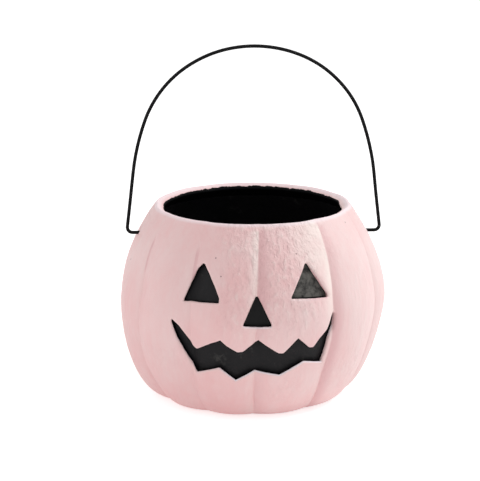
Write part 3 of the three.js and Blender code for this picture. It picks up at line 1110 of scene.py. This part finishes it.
def half_bail():
    crown_end = math.radians(crown_half_angle)
    shoulder_end = math.radians(90 - shoulder_lean)
    leg = math.radians(90 - leg_lean)
    leg_line = radius_in_crease(hinge_height, 0) + leg_stand_off
    tail_line = radius_in_crease(hinge_height, lining_inside) - tail_stand_off
    left = (leg_line, bail_rise) - arc(crown_radius, 0, crown_end) - arc(soft_bend_radius, shoulder_end, leg)
    ways = np.stack([arc(1, crown_end, shoulder_end), (math.cos(leg), math.sin(leg))], axis=1)
    shoulder_radius, leg_length = np.linalg.solve(ways, left)
    line = WireLine(0, hinge_height + bail_rise)
    line.bend(crown_radius, crown_end)
    line.bend(shoulder_radius, shoulder_end)
    line.bend(soft_bend_radius, leg)
    line.straight(leg_length - corner_radius * math.tan((math.pi - leg) / 2))
    line.bend(corner_radius, math.pi)
    line.straight(line.points[-1][0] - tail_line - inner_bend_radius)
    line.bend(inner_bend_radius, math.pi / 2)
    line.straight(tail_length - inner_bend_radius)
    return line.points


right = [(x, z) for x, z, _ in half_bail()]
left = [(-x, z) for x, z in right[:0:-1]]
bail_line = [(x + bail_slide, 0.0, z) for x, z in left + right]

bend, given = new_tree("Thicken the wire", ["Diameter", "Waver", "Held below"])
place = bend.node("GeometryNodeInputPosition")
height = bend.split(place)[2]
free = (height - given["Held below"]).step(0.0, 0.03)
drift = bend.vector("SUBTRACT", bend.noise(place, 14.0, detail=1.0, output=1), (0.5, 0.5, 0.5))
wavered = bend.node("GeometryNodeSetPosition", {
    "Geometry": given["Geometry"],
    "Offset": scaled(bend, drift, free * given["Waver"]),
})
line = bend.node("GeometryNodeMeshToCurve", {"Mesh": wavered})
ring = bend.node("GeometryNodeCurvePrimitiveCircle", {
    "Resolution": wire_sides, "Radius": given["Diameter"] * 0.5,
})
tube = bend.node("GeometryNodeCurveToMesh", {"Curve": line, "Profile Curve": ring, "Fill Caps": True})
end_tree(bend, tube, given["Material"])

mesh = bpy.data.meshes.new("bent_wire_bail")
links = [(k, k + 1) for k in range(len(bail_line) - 1)]
mesh.from_pydata((np.array(bail_line) * MM).tolist(), links, [])
bail = placed("bent_wire_bail", mesh)
run_tree(bail, bend, {
    "Diameter": (wire_diameter + 2 * wire_coat) * MM,
    "Waver": 1.0 * MM,
    "Held below": (hinge_height + 12) * MM,
    "Material": black_wire,
})
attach(bail, "bail")
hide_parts("wire_bail")

# %% [markdown]
# ## Floor, light and camera
#
# The bucket stands on a plain pale floor, which glows a little, so that it stays near white. A
# soft lamp high on the right and a weaker one low on the left shape the lobes, and the pale
# surroundings fill the rest. The camera stands a little left of the middle and looks down on
# the rim, from far enough off to keep the lobes' shape.

# %% Floor and surroundings
floor_reach = 12.0
floor_glow = 0.26
glow_to_camera = 0.3
room_light = 0.7

floor_mesh = bpy.data.meshes.new("floor")
corners = [(x * floor_reach, y * floor_reach, 0) for x, y in [(-1, -1), (1, -1), (1, 1), (-1, 1)]]
floor_mesh.from_pydata(corners, [], [(0, 1, 2, 3)])
floor = placed("floor", floor_mesh)

floor_white, paper = with_nodes(bpy.data.materials.new("floor_white"))
plain = paper.node("ShaderNodeBsdfDiffuse", {"Color": (0.85, 0.85, 0.85, 1)})
glowing = paper.node("ShaderNodeLightPath") * glow_to_camera + floor_glow
glow = paper.node("ShaderNodeEmission", {"Color": (1, 1, 1, 1), "Strength": glowing})
end_shading(paper, paper.node("ShaderNodeAddShader", {0: plain, 1: glow}))
floor_mesh.materials.append(floor_white)

world, room = with_nodes(bpy.data.worlds.new("pale_room"))
rays = room.node("ShaderNodeLightPath")
seen = rays.larger(rays.also("Is Glossy Ray"))
lit = seen * (1 - room_light) + room_light
light = room.node("ShaderNodeBackground", {"Color": (1, 1, 1, 1), "Strength": lit})
end_shading(room, light, "ShaderNodeOutputWorld")
scene.world = world
print("Floor and surroundings ready")

# %% Lamps
lamp_target = 0.09


def way_towards(side, height):
    """A way out from the bucket, by its angle to the right of the front and its angle up."""
    turned, raised = math.radians(side), math.radians(height)
    level = math.cos(raised)
    return Vector((math.sin(turned) * level, -math.cos(turned) * level, math.sin(raised)))


def aim(made, target, way, distance):
    """Puts a lamp or the camera at a distance from its target, and turns it to face that."""
    made.location = target + way * distance
    made.rotation_euler = (-way).to_track_quat("-Z", "Y").to_euler()


def soft_lamp(name, side, height, distance, width, power):
    lamp = bpy.data.lights.new(name, "AREA")
    lamp.shape = "DISK"
    lamp.size = width
    lamp.energy = power
    aim(placed(name, lamp), Vector((0, 0, lamp_target)), way_towards(side, height), distance)


soft_lamp("key_lamp", 100, 50, 1.7, 0.9, 13.6)
soft_lamp("edge_lamp", -100, 12, 1.7, 0.9, 2.9)
print("Two soft lamps")

# %% Camera
camera_side = -2.6
camera_height = 13.93
camera_distance = 1.4
target_height = 0.12365
target_aside = -0.01027
lens_length = 129.0

turned = math.radians(camera_side)
target = Vector((0, 0, target_height)) + Vector((math.cos(turned), math.sin(turned), 0)) * target_aside
camera_data = bpy.data.cameras.new("camera")
camera_data.lens = lens_length
camera = placed("camera", camera_data)
aim(camera, target, way_towards(camera_side, camera_height), camera_distance)
scene.camera = camera
scene.view_settings.view_transform = "Standard"
print("Camera", round(camera_distance, 2), "m away")
